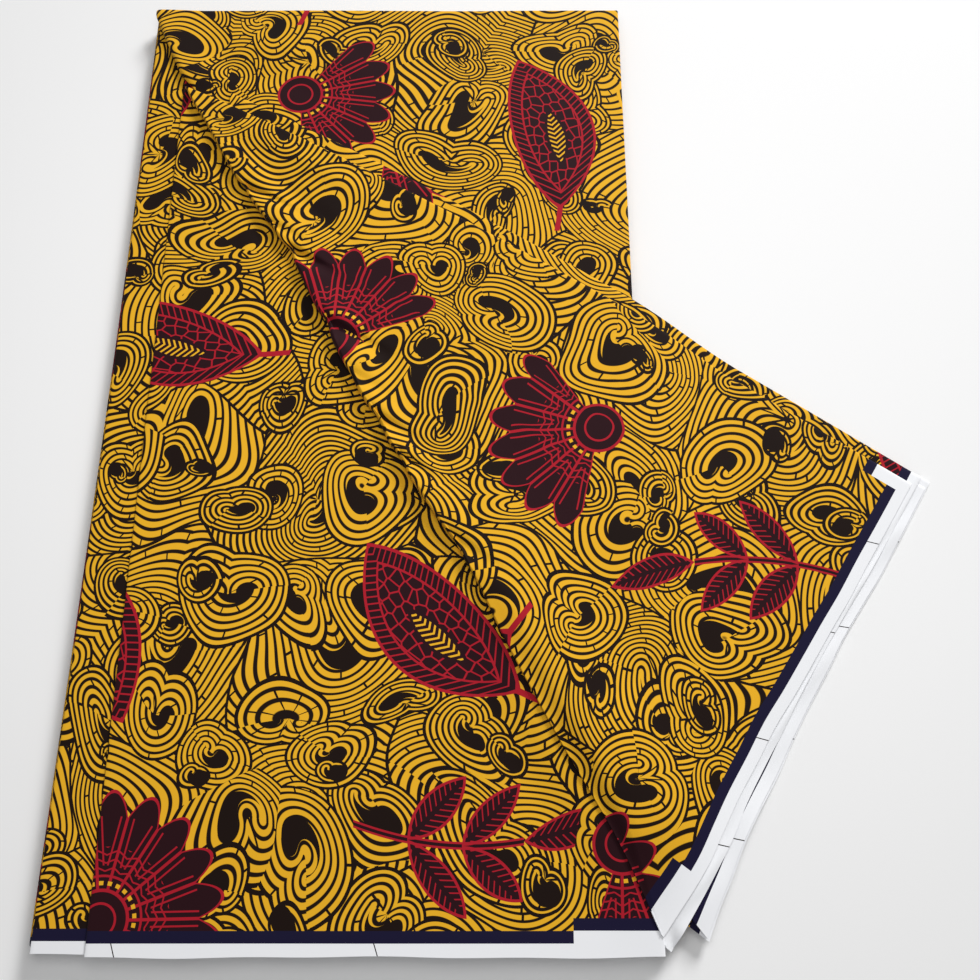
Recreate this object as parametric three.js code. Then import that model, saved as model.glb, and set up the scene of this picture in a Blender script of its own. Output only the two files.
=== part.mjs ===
// A length of wax print cloth, folded flat into pages, with its top page turned over.
// The turned-over page fans out past the stack and comes down to lie on the table.
// Lengths are millimetres, +Z is up, and the cloth rests on z = 0.
// Places are given as u and v from the stack's near left corner: u runs right along the
// selvedges and v runs away from them. The finished group has its origin under its middle.
import * as THREE from 'three';

// Driving sizes of the fold
const PAGE_WIDTH = 317;       // a page of the stack, from side fold to side fold
const HALF_WIDTH = 589;       // from the selvedges to the fold along the cloth's middle
const FRONT_FOLD_LOW = 31;    // the front page's left fold, at the selvedge
const FRONT_FOLD_HIGH = 29;   // the same fold, at its far end
const CORNER_ROUND = 5;       // plan radius at the stack's corners
const STACK_MARGIN = 3;       // how far the stack's folds reach past a page at the right
const LEFT_STAND = 3;         // u of the stack's left fold at the selvedge
const LEFT_BOW = 4;           // how far that fold bows in, past its stand
const LEFT_BOW_SPAN = 0.62;   // share of a half wave that the bow takes up
const LEFT_SET = 1.5;         // the lower pages' left folds stand out this far past it
const SELVEDGE_SLIP = 1;      // the front page lies this far nearer than the stack
const PAGE_GAP = 0.6;         // the front page's right fold inside the corner

// Layers, from the table up
const WALL = 1.2;             // cloth wall of a page
const PLY_WALL = 1.1;         // cloth wall of a ply under the wing
const SEAM = 0.3;             // clearance between two layers
const LAYER = WALL + SEAM;
const STACK_HEIGHT = 9;       // the pages under the uppermost one
const STACK_PAGE_TOP = STACK_HEIGHT + LAYER;
const FRONT_TOP = STACK_PAGE_TOP + LAYER;
const INNER_TOP = FRONT_TOP + LAYER;
const WING_TOP = INNER_TOP + 2 * LAYER;

// The turned-over edge runs from the near right corner towards the far left one
const CORNER = new THREE.Vector2(321, 3);
const FAR_LEFT = new THREE.Vector2(5, 584);
const EDGE_LENGTH = CORNER.distanceTo(FAR_LEFT);
const WING_EDGE = 596;        // as much of it as the wing has; the rest is a gathered neck
const WING_TIP = new THREE.Vector2(475, 252);   // beside the wing's outermost point
const FOLD_BOW = 9.5;         // how far the wing's own fold bows away from a straight line
const WING_START = 0.025;     // share of the wing left off at its point
const PLY_COUNT = 4;          // the wing page and the three plies under it

// How the wing lies
const POINT_RISE = 1.5;       // the wing's height over the front page at its point
const RISE_LENGTH = 80;       // distance from the point over which it climbs to full height
const EDGE_OF_STACK = 316;    // u where the wing starts to come down
const DROP_LENGTH = 68;       // u over which it comes down to the table
const TABLE_TOP = (PLY_COUNT - 1) * LAYER + PLY_WALL;  // top of the plies on the table
const LIP_FADE = 42;          // distance over which the soft lip levels out
const LIP_WIDTH = 0.9;        // the lip's rounding across, as a share of its height
const LIP_LIMIT = 0.12;       // and at most this share of a row
const FADE_LIMIT = 0.3;       // the lip levels out within this share of a row
const BRINK_GAP = 0.05;       // share of a row kept between the lip and the way down
const LIP_THIN = 0.3;         // the wall's share of the lip's height where it rolls under
const BOW_SKEW = 0.8;         // draws the fold's bow towards the turned-over edge
const ROW_MARGIN = 0.02;      // share of a row kept clear at its two ends

// How the inner page lies
const INNER_NEAR = 70;        // v where the inner page starts, under the wing
const INNER_RIGHT = 3;        // how far its right fold stays inside the corner
const NECK_REACH = 18;        // v over which its roll grows past the wing's fold
const NECK_LAG = 4;           // and how far past the fold the growing starts
const INNER_SET_BACK = 5;     // its left side stands in this far where the wing covers it
const NECK_ROLL = 0.8;        // height of its roll, as a share of the lip's
const NECK_FADE = 32;         // distance over which the roll levels out
const NECK_ROOM = 60;         // a page narrower than this has its roll scaled down
const NECK_COLUMNS = [0, 0.4, 1.1, 2.4, 5, 10, 20, 45];   // distances in from its left side
const CREST_COLUMN = 4;       // the one at the top of the roll
const EDGE_TUCK = 0.3;        // how far the page's edge is tucked down

// How the plies under the wing lie
const PLY_CLEAR = 2;          // a ply beside the stack starts this far past the corner
const PLY_INSIDE = 60;        // u that the second ply reaches under the wing
const UNDER_FROM = 0.3;       // shares of the wing's length between which it reaches there
const UNDER_SPAN = 0.15;
const EDGE_CLEAR = 16;        // and how far it stays from the turned-over edge
const PLY_LEDGE = 0.1;        // share of a ply's row kept before its way down

// Points per stretch
const ARC_STEPS = 3;
const SHORT_SIDE = 6;
const LONG_SIDE = 8;
const PAGE_ROWS = 8;
const PAGE_COLUMNS = 3;
const INNER_ROWS = 20;
const INNER_COLUMNS = 6;
const WING_ROWS = 26;
const LIP_FADE_COLUMNS = 4;
const WING_FLAT_COLUMNS = 3;
const PLY_ROWS = 18;
const DROP_COLUMNS = 10;      // across the stretch that comes down to the table
const STEP_COLUMNS = 3;

// The turned-over edge: distance from the corner, how far it strays to the right of a
// straight line, and the height of the soft lip over the front page
const EDGE_TABLE = [
  { at: 0, stray: 0, lip: 1.5 },
  { at: 54, stray: 4, lip: 2.2 },
  { at: 114, stray: 2.6, lip: 3.4 },
  { at: 173, stray: 2.8, lip: 5 },
  { at: 216, stray: 4.8, lip: 6.2 },
  { at: 275, stray: 0.5, lip: 7.2 },
  { at: 322, stray: -1.4, lip: 7.6 },
  { at: 363, stray: -1.8, lip: 7 },
  { at: 403, stray: -0.4, lip: 7.4 },
  { at: 447, stray: 1.5, lip: 6.4 },
  { at: 480, stray: -1.8, lip: 6.8 },
  { at: 516, stray: -5, lip: 5.6 },
  { at: 556, stray: -5, lip: 5 },
  { at: 596, stray: -5.8, lip: 4.4 },
  { at: EDGE_LENGTH, stray: 0, lip: 3 },
];

// The plies under the wing: where the near end and the fold of each lie along the wing, and
// whether it goes on under the wing over the stack
const PLIES = [
  { number: 2, column: 'second', start: 0.03, end: 1.026, under: true },
  { number: 3, column: 'third', start: 0.07, end: 1.012, under: false },
  { number: 4, column: 'fourth', start: 0.075, end: 1.03, under: false },
];

// Where the selvedges of the wing and of its plies lie, at shares of its length: how far each
// stands out to the right of a straight line from the corner to the tip
const SELVEDGES = [
  { share: 0, wing: -4.6, second: 3.2, third: 19, fourth: 20.2 },
  { share: 0.06, wing: -3, second: 4, third: 16.2, fourth: 17.2 },
  { share: 0.11, wing: -1.5, second: 4.6, third: 14, fourth: 15.1 },
  { share: 0.16, wing: -0.7, second: 4.9, third: 12.6, fourth: 14 },
  { share: 0.22, wing: -1.4, second: 4.9, third: 10.6, fourth: 11.9 },
  { share: 0.28, wing: -1.9, second: 3.5, third: 10.2, fourth: 11.4 },
  { share: 0.36, wing: -1.4, second: 3.3, third: 10.6, fourth: 12 },
  { share: 0.43, wing: -1.5, second: 3.4, third: 9.8, fourth: 10.9 },
  { share: 0.5, wing: -0.2, second: 2.9, third: 9.4, fourth: 10.5 },
  { share: 0.58, wing: 0.7, second: 3.3, third: 9.6, fourth: 10.6 },
  { share: 0.65, wing: 1.4, second: 3.9, third: 9.2, fourth: 10.1 },
  { share: 0.72, wing: 2.4, second: 5, third: 10.4, fourth: 11.4 },
  { share: 0.8, wing: 2.6, second: 6.2, third: 12, fourth: 13 },
  { share: 0.9, wing: 3.4, second: 6.8, third: 12.1, fourth: 13.1 },
  { share: 1, wing: 3.9, second: 7.2, third: 12.4, fourth: 13.6 },
];

// The stack's folds as they show at its edges, from the table up: how far each pair of
// pages stands in from the outline at the left, right, near and far sides
const FOLDS = [
  { left: 1.6, right: 0.4, near: 1.2, far: 0.8 },
  { left: 0.2, right: 1.4, near: 0.3, far: 0.2 },
  { left: 1.2, right: 0.2, near: 1.8, far: 1.1 },
  { left: 0.5, right: 1.1, near: 0.6, far: 0.4 },
  { left: 1.8, right: 0.5, near: 1.4, far: 1.3 },
  { left: 0.3, right: 1.6, near: 0.2, far: 0.5 },
  { left: 1.1, right: 0.6, near: 1, far: 0.9 },
];
const FOLD_GROOVE = 0.8;      // depth of the groove between two folds
const FOLD_FULL = { from: 0.32, to: 0.68 };   // shares of its height where it's fullest

// Section of the wing's lip, from its tucked edge to its top, in shares of its width and height
const LIP_OUTLINE = [
  { x: 0.3, z: 0 },
  { x: 0, z: 0.3 },
  { x: 0.1, z: 0.62 },
  { x: 0.38, z: 0.88 },
  { x: 1, z: 1 },
];
const RIM_ROUND = 0.4;        // how far a cloth wall's rim is rounded out, as a share of it

// Colours
const GOLD = 0xe6a92e;
const DEEP_GOLD = 0xc98a25;
const SELVEDGE_WHITE = 0xeeeef2;
const COTTON_ROUGHNESS = 0.75;

const edgeDirection = FAR_LEFT.clone().sub(CORNER).normalize();
const edgeRight = new THREE.Vector2(edgeDirection.y, -edgeDirection.x);
const tipDirection = WING_TIP.clone().sub(CORNER).normalize();
const tipOutward = new THREE.Vector2(tipDirection.y, -tipDirection.x);

const lerp = THREE.MathUtils.lerp;
const clamp = THREE.MathUtils.clamp;
const smooth = (x) => THREE.MathUtils.smoothstep(x, 0, 1);

// Slope of one column of the edge table at a row, from the rows on either side
function edgeSlope(column, row) {
  const before = EDGE_TABLE[Math.max(row - 1, 0)];
  const after = EDGE_TABLE[Math.min(row + 1, EDGE_TABLE.length - 1)];
  return (after[column] - before[column]) / (after.at - before.at);
}

// Reads one column of the edge table at a distance from the corner, on a smooth curve
function edgeValue(column, at) {
  const last = EDGE_TABLE.length - 2;
  let row = 0;
  while (row < last && at > EDGE_TABLE[row + 1].at) row += 1;
  const from = EDGE_TABLE[row];
  const to = EDGE_TABLE[row + 1];
  const span = to.at - from.at;
  const t = (at - from.at) / span;
  const ease = smooth(t);
  const leave = edgeSlope(column, row) * span * t * (1 - t) ** 2;
  const arrive = edgeSlope(column, row + 1) * span * t * t * (1 - t);
  return lerp(from[column], to[column], ease) + leave - arrive;
}

// A plan point on the turned-over edge, moved some way to its right
function edgePoint(at, right = 0) {
  return CORNER.clone()
    .addScaledVector(edgeDirection, at)
    .addScaledVector(edgeRight, edgeValue('stray', at) + right);
}

// Reads one column of the selvedge table at a share of the wing's length
function selvedgeOut(column, share) {
  const last = SELVEDGES.length - 1;
  const after = SELVEDGES.findIndex((row) => row.share >= share);
  const row = clamp(after < 0 ? last : after, 1, last);
  const from = SELVEDGES[row - 1];
  const to = SELVEDGES[row];
  const t = clamp((share - from.share) / (to.share - from.share), 0, 1);
  return lerp(from[column], to[column], t);
}

// A plan point on the wing: share 0 is the corner and 1 the wing's fold; across runs from
// the turned-over edge at 0 to the wing's selvedge at 1
function wingPoint(share, across) {
  const left = edgePoint(share * WING_EDGE);
  const right = CORNER.clone().lerp(WING_TIP, share)
    .addScaledVector(tipOutward, selvedgeOut('wing', share));
  const bow = FOLD_BOW * share * share * Math.sin(Math.PI * clamp(across, 0, 1) ** BOW_SKEW);
  return left.lerp(right, across).addScaledVector(tipDirection, bow);
}

// The height of the wing's upper face, away from its lip
function wingHeight(point) {
  const climb = smooth(point.distanceTo(CORNER) / RISE_LENGTH);
  const onStack = lerp(FRONT_TOP + SEAM + POINT_RISE, WING_TOP, climb);
  return lerp(onStack, TABLE_TOP, smooth((point.x - EDGE_OF_STACK) / DROP_LENGTH));
}

// Where a row of the wing passes over a given u
function acrossAt(share, u) {
  const left = wingPoint(share, 0);
  const right = wingPoint(share, 1);
  return clamp((u - left.x) / (right.x - left.x), ROW_MARGIN, 1 - ROW_MARGIN);
}

// Evenly spaced values, both ends included
function steps(from, to, count) {
  return Array.from({ length: count + 1 }, (_, i) => lerp(from, to, i / count));
}

// Unit normals of a grid of points, from its neighbours along and across
function gridNormals(grid) {
  const rows = grid.length - 1;
  const columns = grid[0].length - 1;
  return grid.map((row, i) => row.map((_, j) => {
    const along = grid[Math.min(i + 1, rows)][j].clone().sub(grid[Math.max(i - 1, 0)][j]);
    const across = row[Math.min(j + 1, columns)].clone().sub(row[Math.max(j - 1, 0)]);
    return across.cross(along).normalize();
  }));
}

// The grid places round a sheet's rim, anticlockwise seen from its upper face
function rimPlaces(rows, columns) {
  const places = [];
  for (let j = 0; j < columns; j += 1) places.push([0, j]);
  for (let i = 0; i < rows; i += 1) places.push([i, columns]);
  for (let j = columns; j > 0; j -= 1) places.push([rows, j]);
  for (let i = rows; i > 0; i -= 1) places.push([i, 0]);
  return places;
}

// Closes a grid of upper points into a cloth wall with a rounded rim
function clothWall(name, grid, material, wallAt = () => WALL) {
  const rows = grid.length - 1;
  const columns = grid[0].length - 1;
  const normals = gridNormals(grid);
  const points = [];
  const upper = grid.map((row) => row.map((point) => points.push(point) - 1));
  const lower = grid.map((row, i) => row.map((point, j) => (
    points.push(point.clone().addScaledVector(normals[i][j], -wallAt(i, j))) - 1
  )));
  const faces = [];
  for (let i = 0; i < rows; i += 1) {
    for (let j = 0; j < columns; j += 1) {
      faces.push(upper[i][j], upper[i][j + 1], upper[i + 1][j + 1]);
      faces.push(upper[i][j], upper[i + 1][j + 1], upper[i + 1][j]);
      faces.push(lower[i][j], lower[i + 1][j + 1], lower[i][j + 1]);
      faces.push(lower[i][j], lower[i + 1][j], lower[i + 1][j + 1]);
    }
  }
  const rim = rimPlaces(rows, columns);
  const middle = rim.map(([i, j], k) => {
    const [beforeI, beforeJ] = rim[(k + rim.length - 1) % rim.length];
    const [afterI, afterJ] = rim[(k + 1) % rim.length];
    const along = grid[afterI][afterJ].clone().sub(grid[beforeI][beforeJ]);
    const outward = along.cross(normals[i][j]).normalize();
    const centre = points[upper[i][j]].clone().lerp(points[lower[i][j]], 0.5);
    return points.push(centre.addScaledVector(outward, wallAt(i, j) * RIM_ROUND)) - 1;
  });
  rim.forEach(([i, j], k) => {
    const next = (k + 1) % rim.length;
    const [nextI, nextJ] = rim[next];
    const top = [upper[i][j], upper[nextI][nextJ]];
    const bottom = [lower[i][j], lower[nextI][nextJ]];
    faces.push(top[0], middle[k], middle[next], top[0], middle[next], top[1]);
    faces.push(middle[k], bottom[0], bottom[1], middle[k], bottom[1], middle[next]);
  });
  return solid(name, points, faces, material);
}

// A named mesh from shared points and triangles
function solid(name, points, faces, material) {
  const geometry = new THREE.BufferGeometry().setFromPoints(points);
  geometry.setIndex(faces);
  geometry.computeVertexNormals();
  const mesh = new THREE.Mesh(geometry, material);
  mesh.name = name;
  return mesh;
}

function clothMaterial(color) {
  return new THREE.MeshStandardMaterial({ color, roughness: COTTON_ROUGHNESS, metalness: 0 });
}

// The stack's left side bows out a little along its length
function leftBow(v) {
  const share = clamp(v / HALF_WIDTH, 0, 1);
  return LEFT_STAND + LEFT_BOW * Math.sin(Math.PI * LEFT_BOW_SPAN * share);
}

// The stack's outline at one level, stood in by a distance at each side
function stackOutline(inset, z) {
  const left = inset.left;
  const right = PAGE_WIDTH + STACK_MARGIN - inset.right;
  const near = inset.near;
  const far = HALF_WIDTH - inset.far;
  const r = CORNER_ROUND;
  const arc = (u, v, from) => steps(from, from + Math.PI / 2, ARC_STEPS).map((angle) => (
    new THREE.Vector3(u + r * Math.cos(angle), v + r * Math.sin(angle), z)
  ));
  const side = (u0, v0, u1, v1, count) => steps(0, 1, count).slice(1, -1).map((t) => (
    new THREE.Vector3(lerp(u0, u1, t), lerp(v0, v1, t), z)
  ));
  const loop = [
    ...arc(left + r, near + r, Math.PI),
    ...side(left + r, near, right - r, near, SHORT_SIDE),
    ...arc(right - r, near + r, -Math.PI / 2),
    ...side(right, near + r, right, far - r, LONG_SIDE),
    ...arc(right - r, far - r, 0),
    ...side(right - r, far, left + r, far, SHORT_SIDE),
    ...arc(left + r, far - r, Math.PI / 2),
    ...side(left, far - r, left, near + r, LONG_SIDE),
  ];
  loop.forEach((point) => {
    if (point.x < PAGE_WIDTH / 2) point.x += leftBow(point.y) - LEFT_SET;
  });
  return loop;
}

function foldedStack() {
  const pitch = STACK_HEIGHT / FOLDS.length;
  const shifted = (fold, by) => ({
    left: fold.left + by, right: fold.right + by, near: fold.near + by, far: fold.far + by,
  });
  const loops = [stackOutline(shifted(FOLDS[0], FOLD_GROOVE), 0)];
  FOLDS.forEach((fold, k) => {
    loops.push(stackOutline(shifted(fold, 0), (k + FOLD_FULL.from) * pitch));
    loops.push(stackOutline(shifted(fold, 0), (k + FOLD_FULL.to) * pitch));
    loops.push(stackOutline(shifted(fold, FOLD_GROOVE), (k + 1) * pitch));
  });
  const count = loops[0].length;
  const points = loops.flat();
  const faces = [];
  for (let ring = 0; ring < loops.length - 1; ring += 1) {
    for (let k = 0; k < count; k += 1) {
      const a = ring * count + k;
      const b = ring * count + ((k + 1) % count);
      faces.push(a, b, b + count, a, b + count, a + count);
    }
  }
  const underside = points.push(new THREE.Vector3(PAGE_WIDTH / 2, HALF_WIDTH / 2, 0)) - 1;
  const crown = points.push(new THREE.Vector3(PAGE_WIDTH / 2, HALF_WIDTH / 2, STACK_HEIGHT)) - 1;
  const topRing = (loops.length - 1) * count;
  for (let k = 0; k < count; k += 1) {
    const next = (k + 1) % count;
    faces.push(underside, next, k);
    faces.push(crown, topRing + k, topRing + next);
  }
  return solid('folded_stack', points, faces, clothMaterial(DEEP_GOLD));
}

// A flat page between two side lines, from one v to another
function flatPage(name, level, near, far, leftAt, right) {
  const grid = steps(near, far, PAGE_ROWS).map((v) => (
    steps(leftAt(v), right, PAGE_COLUMNS).map((u) => new THREE.Vector3(u, v, level))
  ));
  return clothWall(name, grid, clothMaterial(GOLD));
}

function stackPage() {
  const right = PAGE_WIDTH + STACK_MARGIN - SELVEDGE_SLIP;
  return flatPage('stack_page', STACK_PAGE_TOP, 0, HALF_WIDTH, leftBow, right);
}

function frontPage() {
  const left = (v) => lerp(FRONT_FOLD_LOW, FRONT_FOLD_HIGH, v / HALF_WIDTH);
  const far = HALF_WIDTH - SELVEDGE_SLIP;
  return flatPage('front_page', FRONT_TOP, -SELVEDGE_SLIP, far, left, CORNER.x - PAGE_GAP);
}

// The inner page: its left side follows the turned-over edge and rolls over in the neck
function innerPage() {
  const neck = CORNER.y + WING_EDGE * edgeDirection.y + NECK_LAG;
  const right = CORNER.x - INNER_RIGHT;
  const grid = steps(INNER_NEAR, HALF_WIDTH, INNER_ROWS).map((v) => {
    const at = clamp((v - CORNER.y) / edgeDirection.y, 0, EDGE_LENGTH);
    const inNeck = smooth((v - neck) / (NECK_REACH - NECK_LAG));
    const lip = edgeValue('lip', at) - WALL;
    const left = edgePoint(at, lerp(INNER_SET_BACK, 0, inNeck)).x;
    const room = Math.min(1, (right - left) / NECK_ROOM);
    const row = NECK_COLUMNS.map((x, j) => {
      const turn = Math.sin((Math.PI / 2) * Math.min(1, j / CREST_COLUMN));
      const settle = 1 - smooth((x - NECK_COLUMNS[CREST_COLUMN]) / NECK_FADE);
      const roll = j < CREST_COLUMN ? lip * turn - (1 - turn) * EDGE_TUCK : lip * settle;
      return new THREE.Vector3(left + x * room, v, INNER_TOP + inNeck * roll * NECK_ROLL);
    });
    const rest = steps(left + NECK_COLUMNS.at(-1) * room, right, INNER_COLUMNS).slice(1);
    return [...row, ...rest.map((u) => new THREE.Vector3(u, v, INNER_TOP))];
  });
  return clothWall('inner_page', grid, clothMaterial(GOLD));
}

// One row of the wing from its soft lip to its selvedge
function wingRow(share) {
  const left = wingPoint(share, 0);
  const length = left.distanceTo(wingPoint(share, 1));
  const base = FRONT_TOP + SEAM;
  const lip = edgeValue('lip', share * WING_EDGE);
  const width = lip * LIP_WIDTH;
  const row = LIP_OUTLINE.map(({ x, z }) => {
    const point = wingPoint(share, Math.min(LIP_LIMIT, (x * width) / length));
    return new THREE.Vector3(point.x, point.y, base + z * lip);
  });
  const level = (across) => {
    const point = wingPoint(share, across);
    const away = (across * length - width) / Math.min(LIP_FADE, length * FADE_LIMIT);
    const over = (base + lip - wingHeight(left)) * (1 - smooth(away));
    return new THREE.Vector3(point.x, point.y, wingHeight(point) + over);
  };
  const lipEnd = Math.min(LIP_LIMIT, width / length);
  const faded = lipEnd + Math.min(LIP_FADE / length, FADE_LIMIT);
  const brink = Math.max(acrossAt(share, EDGE_OF_STACK), faded + BRINK_GAP);
  row.push(...steps(lipEnd, faded, LIP_FADE_COLUMNS).slice(1).map(level));
  row.push(...steps(faded, brink, WING_FLAT_COLUMNS).slice(1).map(level));
  row.push(...steps(brink, 1, DROP_COLUMNS).slice(1).map(level));
  return row;
}

function wingPage() {
  const grid = steps(WING_START, 1, WING_ROWS).map(wingRow);
  const lipTop = LIP_OUTLINE.length - 1;
  const wallAt = (i, j) => {
    const share = lerp(WING_START, 1, i / WING_ROWS);
    const thin = Math.min(WALL, edgeValue('lip', share * WING_EDGE) * LIP_THIN);
    return j <= lipTop ? lerp(thin, WALL, (j / lipTop) ** 2) : WALL;
  };
  return clothWall('wing_page', grid, clothMaterial(GOLD), wallAt);
}

// A ply under the wing, its selvedge stepped out past the one above
function wingPly(ply) {
  const below = (ply.number - 1) * LAYER;
  const grid = steps(ply.start, ply.end, PLY_ROWS).map((share) => {
    const beside = acrossAt(share, CORNER.x + PLY_CLEAR);
    const inside = Math.max(EDGE_CLEAR / EDGE_LENGTH, acrossAt(share, PLY_INSIDE));
    const goesIn = ply.under ? smooth((share - UNDER_FROM) / UNDER_SPAN) : 0;
    const begin = lerp(beside, inside, goesIn);
    const brink = Math.max(acrossAt(share, EDGE_OF_STACK), lerp(begin, 1, PLY_LEDGE));
    const at = (across, out) => {
      const point = wingPoint(share, across).addScaledVector(tipOutward, out);
      return new THREE.Vector3(point.x, point.y, wingHeight(point) - below);
    };
    const columns = [
      ...steps(begin, brink, ply.under ? WING_FLAT_COLUMNS : 1).slice(0, -1),
      ...steps(brink, 1, DROP_COLUMNS),
    ];
    const step = selvedgeOut(ply.column, share) - selvedgeOut('wing', share);
    const outward = steps(0, step, STEP_COLUMNS).slice(1);
    return [
      ...columns.map((across) => at(across, 0)),
      ...outward.map((out) => at(1, out)),
    ];
  });
  return clothWall(`wing_ply_${ply.number}`, grid, clothMaterial(SELVEDGE_WHITE), () => PLY_WALL);
}

function fabric() {
  const group = new THREE.Group();
  group.add(foldedStack(), stackPage(), frontPage(), innerPage(), wingPage());
  PLIES.forEach((ply) => group.add(wingPly(ply)));
  const box = new THREE.Box3().setFromObject(group);
  const middle = box.getCenter(new THREE.Vector3());
  group.position.set(-middle.x, -middle.y, -box.min.z);
  return group;
}

export default fabric();
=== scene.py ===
"""A folded length of wax print cloth, laid flat, with its top page turned over and fanned out.

Places on the cloth are worked out in millimetres from the stack's near left corner, with u to
the right along the selvedges and v away from them, and become metres when a mesh is made.
"""

import math

import bpy
import numpy as np
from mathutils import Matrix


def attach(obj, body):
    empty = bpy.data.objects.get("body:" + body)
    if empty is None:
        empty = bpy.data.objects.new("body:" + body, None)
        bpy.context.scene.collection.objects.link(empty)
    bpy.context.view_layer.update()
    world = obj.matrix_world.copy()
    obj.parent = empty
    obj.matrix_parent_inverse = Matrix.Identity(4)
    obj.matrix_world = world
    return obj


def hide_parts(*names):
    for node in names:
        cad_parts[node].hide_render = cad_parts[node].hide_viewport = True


MM = 0.001
FULL_TURN = 2 * math.pi
QUARTER_TURN = math.pi / 2

# The fold, as the part's solids have it
PAGE_WIDTH = 317.0
HALF_WIDTH = 589.0  # from the selvedges to the fold along the cloth's middle
FRONT_FOLD_LOW = 31.0  # the front page's left fold, at the selvedge
FRONT_FOLD_HIGH = 29.0  # and at its far end
LEFT_STAND = 3.0  # u of the stack's left fold at the selvedge
LEFT_BOW = 4.0  # how far that fold bows in, past its stand
LEFT_BOW_SPAN = 0.62  # share of a half wave that the bow takes up
LEFT_SET = 1.5  # the lower pages' left folds stand out this far past it
STACK_MARGIN = 3.0  # how far the stack's folds reach past a page at the right
TOP_MARGIN = 2.0  # and how far its uppermost page does
CORNER_ROUND = 5.0  # plan radius at the stack's corners
SELVEDGE_SLIP = 1.0  # the front page lies this far nearer than the stack
PAGE_GAP = 1.0  # the right folds of the pages above stand in this far from the corner
CORNER = np.array([321.0, 3.0])
FAR_LEFT = np.array([5.0, 584.0])
WING_TIP = np.array([475.0, 252.0])
WING_EDGE = 596.0  # as much of the turned-over edge as the wing has
WING_SPAN = 293.0  # from the corner to the wing's own fold
FOLD_BOW = 9.5  # how far that fold bows away from a straight line
BOW_SKEW = 0.8  # draws the bow towards the turned-over edge
EDGE_OF_STACK = 316.0  # u where the wing starts to come down
DROP_LENGTH = 68.0  # u over which it comes down to the table
RISE_LENGTH = 80.0  # from the corner to where the wing is at its full height
POINT_RISE = 0.6  # its height over the front page at its point
LIP_FADE = 42.0  # from the soft lip to where it has levelled out
STACK_CORNER = np.array([-246.685, -294.068, 0.0])  # near left corner in the part's frame

# Heights of the layers' upper faces
STACK_HEIGHT = 9.0
LAYER = 1.5
SEAM = 0.3
STACK_PAGE_TOP = STACK_HEIGHT + LAYER
FRONT_TOP = STACK_PAGE_TOP + LAYER
INNER_TOP = FRONT_TOP + LAYER
WING_TOP = INNER_TOP + 2 * LAYER
TABLE_TOP = 3 * LAYER + 1.1
CLOTH = 0.42  # thickness of one ply of the printed cotton

# The turned-over edge: distance from the near right corner, how far it strays to the right
# of a straight line, and the height of its soft lip over the front page
EDGE_TABLE = [
    (0, 0, 0.6),
    (54, 4, 1.2),
    (114, 2.6, 1.7),
    (173, 2.8, 3.2),
    (216, 4.8, 5.2),
    (275, 0.5, 7.2),
    (322, -1.4, 7.6),
    (363, -1.8, 7),
    (403, -0.4, 7.4),
    (447, 1.5, 6.4),
    (480, -1.8, 6.8),
    (516, -5, 5.6),
    (556, -5, 5),
    (596, -5.8, 4.4),
    (float(np.hypot(*(FAR_LEFT - CORNER))), 0, 3),
]
STRAY = 1
LIP = 2
EDGE_LENGTH = EDGE_TABLE[-1][0]

# Pinches in the soft lip: distance along it, depth, reach into the wing and half width
PINCHES = [
    (506, 2.2, 50, 5),
    (472, 1.2, 34, 6),
    (450, 3.0, 40, 6),
    (394, 3.4, 60, 8),
    (356, 1.2, 34, 7),
    (322, 2.6, 52, 9),
    (294, 2.0, 36, 7),
    (236, 1.6, 46, 10),
]
PINCH_PULL = 0.7  # how far a pinch draws the edge in, as a share of its depth
PINCH_SINK = 0.5  # and how far it lowers the lip where it rolls under
PINCH_START = 4.0  # from the edge to where a pinch has its full depth

# Soft creases: from u, v to u, v, half width, and rise of the middle over the cloth round it
WING_CREASES = [
    (60, 500, 168, 430, 7, 1.1),
    (56, 492, 150, 400, 6, -0.9),
    (70, 470, 150, 372, 8, 0.8),
    (150, 400, 250, 372, 12, 0.5),
    (190, 330, 330, 300, 16, -0.5),
    (250, 215, 372, 232, 18, 0.5),
    (292, 128, 352, 150, 12, -0.6),
    (312, 52, 336, 96, 8, 0.7),
    (388, 300, 430, 236, 14, 0.4),
]
FRONT_CREASES = [
    (120, 330, 178, 226, 14, 0.5),
    (58, 452, 92, 392, 9, 0.7),
    (90, 250, 150, 150, 22, -0.5),
    (60, 90, 190, 60, 24, 0.5),
    (200, 90, 236, 30, 16, -0.6),
    (50, 330, 80, 240, 20, 0.4),
]
INNER_CREASES = [
    (40, 572, 150, 540, 10, 0.8),
    (36, 548, 120, 520, 7, -0.7),
    (170, 560, 300, 520, 24, -0.5),
    (250, 470, 310, 430, 20, 0.5),
]
CREASE_END = 0.1  # a crease starts and ends this share into a half wave
CREASE_FULLNESS = 0.7  # below 1, it holds its height nearer to its ends

# Waves of cloth lying loose: lengths to a radian across and along a page, and heights
BROAD_ACROSS = 31
BROAD_ALONG = 44
BROAD_RISE = 0.22
SWAY = 1.7  # radians that the broad waves wander
SWAY_LENGTH = 63
FINE_ACROSS = 17
FINE_ALONG = 23
FINE_RISE = 0.12
PATCH_ACROSS = 41  # the fine waves come and go in patches of this size
PATCH_ALONG = 37
PAGE_SEEDS = {"stack": 0.6, "front": 2.1, "inner": 4.0, "wing": 5.2}

# Waves in the selvedges: how far in and out, length to a radian, and how the seed shifts them
SELVEDGE_WAVES = [
    (0.35, 29, 1),
    (0.25, 11, 2),
]
SELVEDGE_CALM = 25  # from the selvedge to where they have died out

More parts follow.
